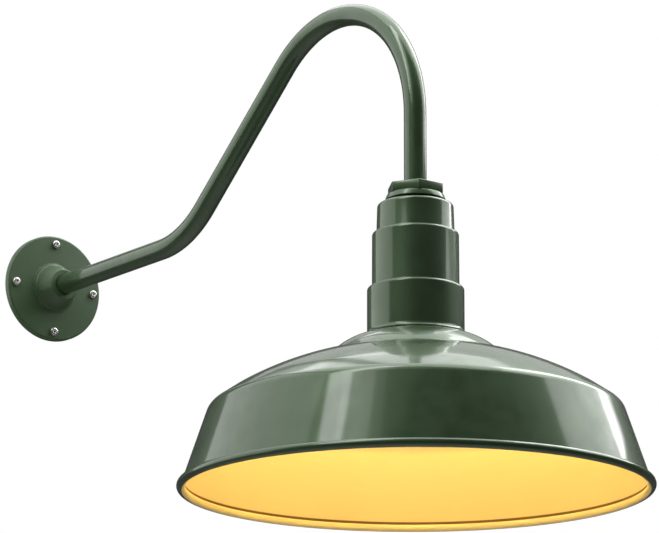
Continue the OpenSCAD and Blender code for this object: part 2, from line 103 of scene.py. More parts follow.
def bowed(start: Point, end: Point, rise: float, steps: int) -> list[Point]:
    """The arc between two points that bulges to the left of its chord.

    Args:
        start: the first point.
        end: the last point.
        rise: how far the arc's middle stands off the chord.
        steps: how many chords it has.

    Returns:
        steps + 1 points.
    """
    a, b = Vector(start), Vector(end)
    half = (b - a).length / 2
    radius = (half * half + rise * rise) / (2 * rise)
    along = (b - a).normalized()
    centre = (a + b) / 2 + Vector((along.y, -along.x)) * (radius - rise)
    first = math.degrees(math.atan2(a.y - centre.y, a.x - centre.x))
    sweep = -2 * math.degrees(math.asin(half / radius))
    return arc((centre.x, centre.y), radius, first, first + sweep, steps)


def sheet(line: list[Point], thickness: float) -> list[Point]:
    """The closed outline of a sheet that lies to the right of a line of points.

    Args:
        line: the points of the sheet's outer face.
        thickness: the sheet's thickness.

    Returns:
        The outer face's points and then the inner face's, backwards.
    """
    points = [Vector(p) for p in line]
    last = len(points) - 1
    inner = []
    for i, p in enumerate(points):
        u = (points[max(i, 1)] - points[max(i - 1, 0)]).normalized()
        v = (points[min(i + 1, last)] - points[min(i, last - 1)]).normalized()
        n, m = Vector((u.y, -u.x)), Vector((v.y, -v.x))
        inner.append(p + (n + m) * thickness / (1 + n.dot(m)))
    return line + [(max(q.x, 0.0), q.y) for q in reversed(inner)]


# ---- meshes --------------------------------------------------------------------------------


def finish_mesh(bm: bmesh.types.BMesh, name: str, sharp: float = 32.0) -> bpy.types.Object:
    """Turns a closed bmesh into an object with smooth faces and sharp creases.

    Args:
        bm: the mesh, which is freed.
        name: the object's name.
        sharp: the angle in degrees past which an edge stays sharp.

    Returns:
        The new object, linked to the scene.
    """
    bmesh.ops.remove_doubles(bm, verts=bm.verts, dist=1e-6)
    bmesh.ops.recalc_face_normals(bm, faces=bm.faces)
    return link_mesh(bm, name, sharp)


def link_mesh(bm: bmesh.types.BMesh, name: str, sharp: float) -> bpy.types.Object:
    """Links a bmesh whose faces already point the right way.

    Args:
        bm: the mesh, which is freed.
        name: the object's name.
        sharp: the angle in degrees past which an edge stays sharp.

    Returns:
        The new object.
    """
    for face in bm.faces:
        face.smooth = True
    for edge in bm.edges:
        edge.smooth = len(edge.link_faces) == 2 and edge.calc_face_angle() < math.radians(sharp)
    mesh = bpy.data.meshes.new(name)
    bm.to_mesh(mesh)
    bm.free()
    piece = bpy.data.objects.new(name, mesh)
    bpy.context.scene.collection.objects.link(piece)
    return piece


def turn(bm: bmesh.types.BMesh, outline: list[Point], steps: int, closed: bool = True) -> list:
    """Adds the solid of revolution of an outline about the Z axis.

    Args:
        bm: the mesh to add it to.
        outline: its points (radius, height).
        steps: how many steps the turn has.
        closed: whether the last point joins the first; an outline with its ends on the axis is open.

    Returns:
        The new vertices.
    """
    old = set(bm.verts)
    verts = [bm.verts.new((r, 0.0, z)) for r, z in outline]
    pairs = zip(verts, verts[1:] + verts[:1] if closed else verts[1:])
    edges = [bm.edges.new(pair) for pair in pairs]
    bmesh.ops.spin(bm, geom=verts + edges, cent=(0, 0, 0), axis=(0, 0, 1), dvec=(0, 0, 0),
                   angle=math.tau, steps=steps, use_merge=True, use_normal_flip=False,
                   use_duplicate=False)
    new = [v for v in bm.verts if v not in old]
    bmesh.ops.remove_doubles(bm, verts=new, dist=1e-7)
    return [v for v in bm.verts if v not in old]


def helix(bm: bmesh.types.BMesh, tooth: list[Point], top: float, pitch: float, turns: float,
          per_turn: int) -> None:
    """Adds a closed screw ridge that winds down from a height.

    Args:
        bm: the mesh to add it to.
        tooth: the ridge's section as (radius, height), anticlockwise.
        top: the height of its upper end.
        pitch: how far it falls in one turn.
        turns: how many turns it has.
        per_turn: how many steps a turn has.
    """
    verts = [bm.verts.new((r, 0.0, top + z)) for r, z in tooth]
    start = bm.faces.new(verts)
    steps = round(turns * per_turn)
    bmesh.ops.spin(bm, geom=[start] + list(start.edges) + verts, cent=(0, 0, 0), axis=(0, 0, 1),
                   dvec=(0, 0, -pitch / per_turn), angle=-math.tau * turns, steps=steps,
                   use_merge=False, use_normal_flip=False, use_duplicate=True)


def away_from_wall() -> Matrix:
    """The place of a piece that is drawn with its +Z away from the wall."""
    return Matrix.Rotation(math.radians(90), 4, "X")


# ---- finishes ------------------------------------------------------------------------------


class Nodes:
    """A small hand for wiring one material's nodes."""

    def __init__(self, name: str) -> None:
        """Starts an empty material of that name, with its shader and output."""
        self.material = bpy.data.materials.new(name)
        self.material.use_nodes = True
        self.tree = self.material.node_tree
        self.shader = self.tree.nodes["Principled BSDF"]
        self.place = self.tree.nodes.new("ShaderNodeTexCoord").outputs["Object"]

    def put(self, socket: str, value: object) -> None:
        """Sets one of the shader's own sockets to a constant."""
        self.shader.inputs[socket].default_value = value

    def join(self, source: bpy.types.NodeSocket, socket: str) -> None:
        """Links an output to one of the shader's sockets."""
        self.tree.links.new(source, self.shader.inputs[socket])

    def noise(self, scale: float, detail: float = 3.0,
              stretch: Triple = (1, 1, 1)) -> bpy.types.NodeSocket:
        """A noise on Object coordinates.

        Args:
            scale: its features per metre.
            detail: its octaves.
            stretch: how much the pattern is squeezed along each axis.

        Returns:
            The noise's value.
        """
        mapping = self.tree.nodes.new("ShaderNodeMapping")
        mapping.inputs["Scale"].default_value = stretch
        self.tree.links.new(self.place, mapping.inputs["Vector"])
        tex = self.tree.nodes.new("ShaderNodeTexNoise")
        tex.inputs["Scale"].default_value = scale
        tex.inputs["Detail"].default_value = detail
        self.tree.links.new(mapping.outputs["Vector"], tex.inputs["Vector"])
        return tex.outputs["Fac"]

    def spread(self, source: bpy.types.NodeSocket, low: float, high: float) -> bpy.types.NodeSocket:
        """Maps the middle of a noise's range to low..high."""
        node = self.tree.nodes.new("ShaderNodeMapRange")
        node.inputs["From Min"].default_value = 0.35
        node.inputs["From Max"].default_value = 0.65
        node.inputs["To Min"].default_value = low
        node.inputs["To Max"].default_value = high
        self.tree.links.new(source, node.inputs["Value"])
        return node.outputs["Result"]

    def blend(self, factor: bpy.types.NodeSocket, one: Colour, two: Colour) -> bpy.types.NodeSocket:
        """Mixes two colours by a factor."""
        node = self.tree.nodes.new("ShaderNodeMix")
        node.data_type = "RGBA"
        node.inputs["A"].default_value = (*one, 1)
        node.inputs["B"].default_value = (*two, 1)
        self.tree.links.new(factor, node.inputs["Factor"])
        return node.outputs["Result"]

    def bump(self, height: bpy.types.NodeSocket, distance: float) -> None:
        """Lets a height raise the surface by at most distance, in metres."""
        node = self.tree.nodes.new("ShaderNodeBump")
        node.inputs["Strength"].default_value = 1.0
        node.inputs["Distance"].default_value = distance
        self.tree.links.new(height, node.inputs["Height"])
        self.join(node.outputs["Normal"], "Normal")


def tone(colour: Colour, by: float) -> Colour:
    """A colour made lighter or darker by a factor."""
    return tuple(min(c * by, 1.0) for c in colour)


@dataclass(frozen=True)
class Coating:
    """A sprayed or fired coat: colour that varies a little, a fine orange-peel skin and, where asked, a
    painted glow of its own colour.
    """

    name: str
    colour: Colour
    roughness: float = 0.2
    gloss_coat: float = 0.0
    mottle: float = 0.06
    peel_scale: float = 260.0
    peel_depth: float = 0.00001
    metal: float = 0.0
    painted_glow: float = 0.0

    def material(self) -> bpy.types.Material:
        """Builds the coat's material."""
        n = Nodes(self.name)
        cloud = n.spread(n.noise(9.0, 4.0), 0.0, 1.0)
        n.join(n.blend(cloud, tone(self.colour, 1 - self.mottle), tone(self.colour, 1 + self.mottle)),
               "Base Color")
        n.join(n.spread(n.noise(45.0, 5.0), self.roughness * 0.85, self.roughness * 1.2), "Roughness")
        n.put("Metallic", self.metal)
        # A coat with a glow gives off its own colour as painted light, though it is no lamp.
        n.put("Emission Color", (*self.colour, 1))
        n.put("Emission Strength", self.painted_glow)
        n.put("Coat Weight", self.gloss_coat)
        n.put("Coat Roughness", 0.1)
        n.put("Coat IOR", 1.5)
        n.bump(n.noise(self.peel_scale, 2.0), self.peel_depth)
        return n.material


@dataclass(frozen=True)
class Metal:
    """A bare or plated metal with a fine machined grain and a little tarnish."""

    name: str
    colour: Colour
    roughness: float = 0.3
    grain: Triple = (1, 1, 12)
    tarnish: float = 0.2

    def material(self) -> bpy.types.Material:
        """Builds the metal's material."""
        n = Nodes(self.name)
        cloud = n.spread(n.noise(120.0, 4.0), 0.0, 1.0)
        n.join(n.blend(cloud, tone(self.colour, 1 - self.tarnish), self.colour), "Base Color")
        n.put("Metallic", 1.0)
        lines = n.noise(900.0, 3.0, self.grain)
        n.join(n.spread(lines, self.roughness * 0.8, self.roughness * 1.3), "Roughness")
        n.bump(lines, 0.000004)
        return n.material


@dataclass(frozen=True)
class Moulded:
    """Rubber, plastic insulation, vitreous glass or glazed porcelain."""

    name: str
    colour: Colour
    roughness: float = 0.5
    glaze: float = 0.0
    pit_scale: float = 500.0
    pit_depth: float = 0.00002

    def material(self) -> bpy.types.Material:
        """Builds the material."""
        n = Nodes(self.name)
        cloud = n.spread(n.noise(30.0, 4.0), 0.0, 1.0)
        n.join(n.blend(cloud, tone(self.colour, 0.88), tone(self.colour, 1.08)), "Base Color")
        n.join(n.spread(n.noise(80.0, 3.0), self.roughness * 0.85, self.roughness * 1.15), "Roughness")
        n.put("Coat Weight", self.glaze)
        n.put("Coat Roughness", 0.05)
        n.bump(n.noise(self.pit_scale, 2.0), self.pit_depth)
        return n.material


@dataclass(frozen=True)
class Glowing:
    """Frosted glass or wire that gives off the lamp's warm light."""

    name: str
    colour: Colour
    strength: float
    roughness: float = 0.4

    def material(self) -> bpy.types.Material:
        """Builds the material."""
        n = Nodes(self.name)
        frost = n.noise(700.0, 2.0)
        n.put("Base Color", (*tone(self.colour, 0.9), 1))
        n.join(n.spread(frost, self.roughness * 0.9, self.roughness * 1.1), "Roughness")
        n.join(n.blend(n.spread(n.noise(60.0), 0.0, 1.0), tone(self.colour, 0.97), self.colour),
               "Emission Color")
        n.put("Emission Strength", self.strength)
        n.bump(frost, 0.00001)
        return n.material


@dataclass(frozen=True)
class ClearGlass:
    """Clear glass of the bulb's inner stem."""

    name: str
    colour: Colour

    def material(self) -> bpy.types.Material:
        """Builds the material."""
        n = Nodes(self.name)
        n.put("Base Color", (*self.colour, 1))
        n.put("Transmission Weight", 1.0)
        n.put("IOR", 1.5)
        n.join(n.spread(n.noise(90.0), 0.02, 0.08), "Roughness")
        return n.material


GREEN: Colour = (0.058, 0.112, 0.047)


class Finish(Enum):
    """The finishes, by the name of the record's material slot."""

    GREEN_ENAMEL = Coating("green_enamel", GREEN, 0.42, 1.0, metal=0.45)
    CAST_ENAMEL = Coating("cast_enamel", tone(GREEN, 1.05), 0.5, 0.3, 0.1, 420.0, 0.0001)
    # The lining is cream enamel carrying painted light: its warm yellow tint and its faint glow stand
    # in for the bulb's light inside the shade.
    LINING = Coating("lining_enamel", (0.84, 0.62, 0.22), 0.45, 0.1, 0.02, 300.0, 0.00001, painted_glow=0.14)
    # Painted shade: a dark brown for the groove where the skirt meets its rolled bead.
    PAINTED_GROOVE_SHADE = Coating("painted_groove_shade", (0.24, 0.11, 0.02), 0.5)
    STAINLESS = Metal("stainless", (0.78, 0.77, 0.75), 0.28)
    ZINC = Metal("zinc_steel", (0.62, 0.63, 0.65), 0.35, (1, 1, 6), 0.3)
    BRASS = Metal("brass", (0.72, 0.52, 0.22), 0.3, (6, 6, 1), 0.3)
    SOLDER = Metal("solder", (0.6, 0.6, 0.6), 0.4, (1, 1, 1), 0.2)
    PORCELAIN = Moulded("porcelain", (0.8, 0.77, 0.7), 0.25, 0.8, 120.0, 0.00002)
    GASKET = Moulded("gasket_rubber", (0.012, 0.012, 0.012), 0.7)
    BLACK_INSULATION = Moulded("black_insulation", (0.012, 0.012, 0.013), 0.45)
    WHITE_INSULATION = Moulded("white_insulation", (0.7, 0.7, 0.68), 0.45)
    GREEN_INSULATION = Moulded("green_insulation", (0.01, 0.13, 0.03), 0.45)
    EARTH_GREEN = Coating("earth_green", (0.01, 0.12, 0.03), 0.3, 0.3)
    BLACK_GLASS = Moulded("black_glass", (0.01, 0.01, 0.012), 0.12, 0.6)
    BULB_GLASS = Glowing("bulb_glass", (1.0, 0.86, 0.54), 31.0)
    CLEAR_GLASS = ClearGlass("clear_glass", (0.93, 0.97, 0.97))
    TUNGSTEN = Glowing("tungsten", (1.0, 0.6, 0.2), 12.0, 0.5)

    @property
    def slot(self) -> str:
        """The record's slot that the finish belongs to."""
        return "green_enamel" if self in (Finish.CAST_ENAMEL, Finish.PAINTED_GROOVE_SHADE) else self.value.name


class Paint:
    """Gives each piece its finish, and builds each material once."""

    made: dict[Finish, bpy.types.Material] = {}

    @classmethod
    def of(cls, finish: Finish) -> bpy.types.Material:
        """The material of a finish."""
        if finish not in cls.made:
            cls.made[finish] = finish.value.material()
        return cls.made[finish]

    @classmethod
    def dress(cls, piece: bpy.types.Object, *finishes: Finish) -> None:
        """Puts the finishes in the piece's material slots, in order."""
        if piece.data.materials:
            piece.data.materials.clear()
        for finish in finishes:
            piece.data.materials.append(cls.of(finish))


def stand_for(piece: bpy.types.Object, node: str, body: str, *finishes: Finish) -> None:
    """Dresses a new piece and puts it in the place of its CAD node.

    Args:
        piece: the new piece.
        node: the CAD node that it stands for.
        body: the CAD body that it rides on.
        finishes: its finishes; the first is the one that the record knows it by.
    """
    Paint.dress(piece, *finishes)
    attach(piece, body)
    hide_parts(node)
    LOG.info("%s stands for %s: %d faces", piece.name, node, len(piece.data.polygons))


# ---- the lantern ---------------------------------------------------------------------------


@dataclass
class LampAxis:
    """The lamp's upright axis and the heights on it that the other pieces are set by."""

    x: float = 0.0
    y: float = field(init=False)
    hub_top: float = field(init=False)

    def __post_init__(self) -> None:
        """Reads the axis and the hub's top from the frame."""
        low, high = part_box("hub")
        self.y = (low.y + high.y) / 2
        self.hub_top = high.z

    def place(self) -> Matrix:
        """The place of a piece drawn with its axis on Z and its heights from the frame's origin."""
        return Matrix.Translation((self.x, self.y, 0.0))


@dataclass
class WallFlange:
    """The cast flange, its screws and the set screw in its cone."""

    plate: float = 3.5 * MM
    rim: float = 5.5 * MM
    cone_base: float = 26.5 * MM
    cone_nose: float = 17.5 * MM
    edge_round: float = 2.2 * MM
    foot_break: float = 0.4 * MM
    ridge: float = 0.9 * MM
    ridge_run: float = 2.2 * MM
    ridge_slope: float = 1.0 * MM
    ridge_round: float = 0.5 * MM
    root_round: float = 3.5 * MM
    cone_inset: float = 0.6 * MM
    nose_round: float = 1.8 * MM
    mouth_round: float = 0.8 * MM
    hollow_round: float = 1.5 * MM
    bore: float = 11.15 * MM
    seat: float = 2 * MM
    seat_step: float = 1.6 * MM
    thickness: float = 8 * MM
    pitch_circle: float = 50.8 * MM
    thread_pitch: float = 0.8 * MM
    thread_depth: float = 0.45 * MM
    thread_start: float = 0.5 * MM
    thread_short: float = 1.6 * MM
    tooth_foot: float = 0.34 * MM
    tooth_crest: float = 0.05 * MM
    tooth_sink: float = 0.1 * MM
    boss: float = 6.5 * MM
    boss_gap: float = 0.2 * MM
    boss_sink: float = 0.5 * MM
    shank: float = 2.2 * MM
    thread_root: float = 1.95 * MM
    shank_step: float = 0.2 * MM
    point: float = 0.7 * MM
    head: float = 4.8 * MM
    head_round: float = 2.0 * MM
    head_edge: float = 0.3 * MM
    head_flat: float = 1.2 * MM
    blade: Triple = (5.2 * MM, 1.15 * MM, 2.6 * MM)
    blade_taper: Triple = (0.45, 0.8, 1.0)
    blade_turn: float = 25.0
    blade_lift: float = 0.5 * MM

    def build(self) -> None:
        """Builds the flange and the wall screws, and dresses the set screw."""
        self.flange()
        self.screws()
        Paint.dress(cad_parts["flange_set_screw"], Finish.STAINLESS)

    def flange(self) -> None:
        """The casting: plate, rim, raised cone with a soft root, and four bosses behind."""
        low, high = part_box("wall_flange")
        radius, front = (high.z - low.z) / 2, -low.y
        face, hollow, inner = self.thickness, self.thickness - self.plate, radius - self.rim
        root = (self.cone_base, face + self.ridge)
        nose, mouth = (self.cone_nose, front), (self.bore, front)
        ridge_foot = (root[0] + self.ridge_run, face)
        ridge_top = (ridge_foot[0] - self.ridge_slope, root[1])
        outline = [
            (inner, 0.0), (radius - self.foot_break, 0.0), (radius, self.foot_break),
            *rounded((radius, 0.0), (radius, face), (0.0, face), self.edge_round),
            *rounded((radius, face), ridge_foot, ridge_top, self.ridge_round, 4),
            *rounded(ridge_foot, ridge_top, root, self.ridge_round, 4),
            *rounded((radius, root[1]), (root[0] - self.cone_inset, root[1]), nose, self.root_round),
            *rounded(root, nose, (0.0, front), self.nose_round),
            *rounded(nose, mouth, (self.bore, 0.0), self.mouth_round, 4),
            (self.bore, hollow + self.seat), (self.bore - self.seat_step, hollow + self.seat),
            (self.bore - self.seat_step, hollow),
            *rounded((0.0, hollow), (inner, hollow), (inner, 0.0), self.hollow_round, 5),
        ]
        bm = bmesh.new()
        turn(bm, outline, 128)
        for quarter in range(4):
            foot, sunk = self.boss_gap, hollow + self.boss_sink
            added = turn(bm, [(0.0, foot), (self.boss - self.foot_break, foot),
                              (self.boss, foot + self.foot_break), (self.boss, sunk), (0.0, sunk)],
                         32, False)
            bmesh.ops.translate(bm, verts=added, vec=self.screw_place(quarter))
        bm.transform(away_from_wall())
        stand_for(finish_mesh(bm, "flange_casting"), "wall_flange", "fixture", Finish.CAST_ENAMEL)

    def screw_place(self, quarter: int) -> Vector:
        """Where a screw's axis meets the wall, in the flange's own frame."""
        return Matrix.Rotation(quarter * math.pi / 2, 3, "Z") @ Vector((self.pitch_circle, 0.0, 0.0))

    def screws(self) -> None:
        """Four pan-head screws with cross recesses and rolled threads."""
        low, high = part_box("wall_screws")
        head_top, tip = -low.y, -high.y
        core, root, head = self.shank, self.thread_root, self.head
        outline = [
            (0.0, tip), (root - self.point, tip), (root, tip + self.point), (root, 0.0),
            (core, self.shank_step), (core, self.thickness - self.head_edge),
            *rounded((core, self.thickness), (head, self.thickness), (head, head_top),
                     self.head_edge, 3),
            *rounded((head, self.thickness), (head, head_top), (0.0, head_top), self.head_round),
            (self.head_flat, head_top), (0.0, head_top),
        ]
        foot, crest = root - self.tooth_sink, root + self.thread_depth
        tooth = [(foot, -self.tooth_foot), (crest, -self.tooth_crest),
                 (crest, self.tooth_crest), (foot, self.tooth_foot)]
        turns = (-tip - self.thread_short) / self.thread_pitch
        bm = bmesh.new()
        for quarter in range(4):
            added = turn(bm, outline, 40, False)
            old = set(bm.verts) - set(added)
            helix(bm, tooth, -self.thread_start, self.thread_pitch, turns, 24)
            new = [v for v in bm.verts if v not in old]
            bmesh.ops.translate(bm, verts=new, vec=self.screw_place(quarter))
        bm.transform(away_from_wall())
        screws = finish_mesh(bm, "pan_head_screws")
        self.recess(screws, head_top)
        stand_for(screws, "wall_screws", "fixture", Finish.STAINLESS)

    def recess(self, screws: bpy.types.Object, head_top: float) -> None:
        """Cuts the cross recesses, each two tapering blades at right angles.

        Args:
            screws: the screws' object.
            head_top: how far the heads' tops stand off the wall.
        """
        bm = bmesh.new()
        for quarter in range(4):
            for blade in range(2):
                cube = bmesh.ops.create_cube(bm, size=1.0)["verts"]
                bmesh.ops.scale(bm, verts=cube, vec=self.blade)
                floor = [v for v in cube if v.co.z < 0]
                bmesh.ops.scale(bm, verts=floor, vec=self.blade_taper)
                angle = math.radians(self.blade_turn + 90 * blade + 90 * quarter)
                bmesh.ops.rotate(bm, verts=cube, cent=(0, 0, 0), matrix=Matrix.Rotation(angle, 3, "Z"))
                lift = Vector((0.0, 0.0, head_top - self.blade_lift))
                bmesh.ops.translate(bm, verts=cube, vec=self.screw_place(quarter) + lift)
        bm.transform(away_from_wall())
        cutter = finish_mesh(bm, "recess_cutter")
        cut = screws.modifiers.new("recess", "BOOLEAN")
        cut.object, cut.operation, cut.solver, cut.use_self = cutter, "DIFFERENCE", "EXACT", True
        apply_modifiers(screws)
        bpy.data.objects.remove(cutter)


def apply_modifiers(piece: bpy.types.Object) -> None:
    """Replaces a piece's mesh by its evaluated mesh, and removes its modifiers."""
    bpy.context.view_layer.update()
    shaped = piece.evaluated_get(bpy.context.evaluated_depsgraph_get())
    mesh = bpy.data.meshes.new_from_object(shaped)
    piece.modifiers.clear()
    piece.data = mesh


@dataclass
class Gooseneck:
    """The bent tube, from its seat in the flange to its seat in the hub."""

    radius: float = 11.1 * MM
    wall: float = 1.6 * MM
    first_run: float = 226 * MM
    rise_bend: float = 124.5 * MM
    rise_angle: float = math.radians(39.8)
    top_bend: float = 133.5 * MM
    sides: int = 48

    def build(self, axis: LampAxis) -> None:
        """Extrudes and spins a ring along the arm, and gives it its wall.

        Args:
            axis: the lamp's axis, where the arm ends.
        """
        low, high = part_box("gooseneck_arm")
        rise, reach = self.rise_angle, -axis.y
        start = Vector((0.0, high.y, 0.0))
        bm = bmesh.new()
        circle = bmesh.ops.create_circle(bm, cap_ends=False, segments=self.sides, radius=self.radius)
        ring = circle["verts"]
        bmesh.ops.rotate(bm, verts=ring, cent=(0, 0, 0), matrix=Matrix.Rotation(math.pi / 2, 3, "X"))
        bmesh.ops.translate(bm, verts=ring, vec=start)
        edges = list(bm.edges)
        edges = self.straight(bm, edges, Vector((0.0, -self.first_run - start.y, 0.0)))
        edges = self.bend(bm, edges, Vector((0.0, -self.first_run, self.rise_bend)), -rise, 16)
        foot_y = self.first_run + self.rise_bend * math.sin(rise)
        climb = (reach - self.top_bend * (1 + math.sin(rise)) - foot_y) / math.cos(rise)
        heading = Vector((0.0, -math.cos(rise), math.sin(rise)))
        edges = self.straight(bm, edges, heading * climb)
        foot_z = self.rise_bend * (1 - math.cos(rise))
        top_z = foot_z + climb * math.sin(rise) - self.top_bend * math.cos(rise)
        centre = Vector((0.0, -reach + self.top_bend, top_z))
        edges = self.bend(bm, edges, centre, rise + math.pi / 2, 52)
        self.straight(bm, edges, Vector((0.0, 0.0, low.z - top_z)))
        bmesh.ops.recalc_face_normals(bm, faces=bm.faces)
        bmesh.ops.solidify(bm, geom=list(bm.faces), thickness=self.wall)
        stand_for(finish_mesh(bm, "bent_tube", 50.0), "gooseneck_arm", "fixture", Finish.GREEN_ENAMEL)

    @staticmethod
    def straight(bm: bmesh.types.BMesh, edges: list, move: Vector) -> list:
        """Extrudes the ring of edges by a vector, and returns the new ring's edges."""
        new = bmesh.ops.extrude_edge_only(bm, edges=edges)["geom"]
        verts = [g for g in new if isinstance(g, bmesh.types.BMVert)]
        bmesh.ops.translate(bm, verts=verts, vec=move)
        ends = set(verts)
        return [g for g in new if isinstance(g, bmesh.types.BMEdge) and set(g.verts) <= ends]

    @staticmethod
    def bend(bm: bmesh.types.BMesh, edges: list, centre: Vector, angle: float, steps: int) -> list:
        """Spins the ring of edges about a bend's centre, and returns the last ring's edges."""
        made = bmesh.ops.spin(bm, geom=edges, cent=centre, axis=(1, 0, 0), dvec=(0, 0, 0), angle=angle,
                              steps=steps, use_merge=False, use_normal_flip=False, use_duplicate=False)
        return [g for g in made["geom_last"] if isinstance(g, bmesh.types.BMEdge)]


@dataclass
class Hub:
    """The hexagon with its round foot, its gasket and its set screw."""

    hexagon: float = 10 * MM
    foot_height: float = 5.5 * MM
    corner_radius: float = 29 * MM
    foot_radius: float = 30 * MM
    stem: float = 10.65 * MM
    edge: float = 0.7 * MM
    foot_slope: float = 2 * MM
    foot_sink: float = 0.3 * MM
    shoulder_round: float = 1.2 * MM
    toe_round: float = 0.6 * MM
    stem_wall: float = 3.6 * MM
    stem_depth: float = 8 * MM

    def build(self, axis: LampAxis) -> None:
        """Builds the hub and dresses what is fitted to it.

        Args:
            axis: the lamp's axis.
        """
        top = axis.hub_top
        seat = top - self.hexagon
        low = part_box("hub")[0].z
        bm = bmesh.new()
        circle = bmesh.ops.create_circle(bm, cap_ends=True, segments=6, radius=self.corner_radius)
        hexagon = circle["verts"]
        bmesh.ops.rotate(bm, verts=hexagon, cent=(0, 0, 0), matrix=Matrix.Rotation(math.pi / 6, 3, "Z"))
        bmesh.ops.translate(bm, verts=hexagon, vec=(0, 0, seat))
        made = bmesh.ops.extrude_face_region(bm, geom=list(bm.faces))["geom"]
        bmesh.ops.translate(bm, verts=[g for g in made if isinstance(g, bmesh.types.BMVert)],
                            vec=(0, 0, self.hexagon))
        bmesh.ops.bevel(bm, geom=list(bm.edges), offset=self.edge, offset_type="OFFSET", segments=3,
                        profile=0.5, affect="EDGES", material=-1)
        foot, sunk = seat - self.foot_height, seat + self.foot_sink
        shoulder, inside = self.foot_radius - self.foot_slope, self.stem - self.stem_wall
        toe = (self.foot_radius, foot)
        turn(bm, [(0.0, sunk),
                  *rounded((0.0, sunk), (shoulder, sunk), toe, self.shoulder_round, 5),
                  *rounded((shoulder, seat), toe, (0.0, foot), self.toe_round, 4),
                  (self.stem, foot), (self.stem, low), (inside, low),
                  (inside, low + self.stem_depth), (0.0, low + self.stem_depth)], 96, False)
        bm.transform(axis.place())
        stand_for(finish_mesh(bm, "hex_hub"), "hub", "fixture", Finish.GREEN_ENAMEL)
        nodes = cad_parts
        Paint.dress(nodes["hub_gasket"], Finish.GASKET)
        Paint.dress(nodes["hub_set_screw"], Finish.STAINLESS)
        Paint.dress(nodes["lock_washer"], Finish.ZINC)
        Paint.dress(nodes["lock_nut"], Finish.ZINC)


@dataclass
class Neck:
    """The spun hood in three tiers."""

    wall: float = 1.5 * MM
    radii: tuple[float, float, float] = (37.8 * MM, 42.3 * MM, 47.2 * MM)
    heights: tuple[float, float, float] = (29 * MM, 54.8 * MM, 48.4 * MM)
    hole: float = 11 * MM
    flare: float = 3.0 * MM
    cove: float = 1.1 * MM
    taper: float = 0.2 * MM
    top_taper: float = 0.6 * MM
    top_lean: float = 0.3 * MM
    shoulders: tuple[float, float, float] = (3.6 * MM, 3.0 * MM, 3.2 * MM)
    foot_cove: float = 6 * MM
    foot_lift: float = 5.6 * MM
    foot_in: float = 37.2 * MM

    def build(self, axis: LampAxis) -> None:
        """Turns the three tiers with their rounded shoulders.

        Args:
            axis: the lamp's axis.
        """
        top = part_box("neck")[1].z
        r1, r2, r3 = self.radii
        first, second, third = self.shoulders
        z2 = top - self.heights[0]
        z3 = z2 - self.heights[1]
        foot = z3 - self.heights[2]
        brow, base = (r1 - self.top_taper, top), (r1 + self.top_lean, z2)
        line = [
            (self.hole, top),
            *rounded((0.0, top), brow, base, first, 12),
            *rounded(brow, base, (r2, z2), self.cove, 5),
            *rounded((r1, z2), (r2, z2), (r2 + self.taper, z3), second, 10),
            *rounded((r2, z2), (r2 + self.taper, z3), (r3, z3), self.cove, 5),
            *rounded((r2, z3), (r3, z3), (r3, foot), third, 10),
            *arc((r3 + self.foot_cove, foot + self.foot_lift), self.foot_cove, 180, 242, 8),
            (r3 + self.flare, foot),
            (self.foot_in, foot),
        ]
        bm = bmesh.new()
        turn(bm, sheet(line, self.wall), 144)
        bm.transform(axis.place())
        stand_for(finish_mesh(bm, "tiered_neck", 40.0), "neck", "fixture", Finish.GREEN_ENAMEL)


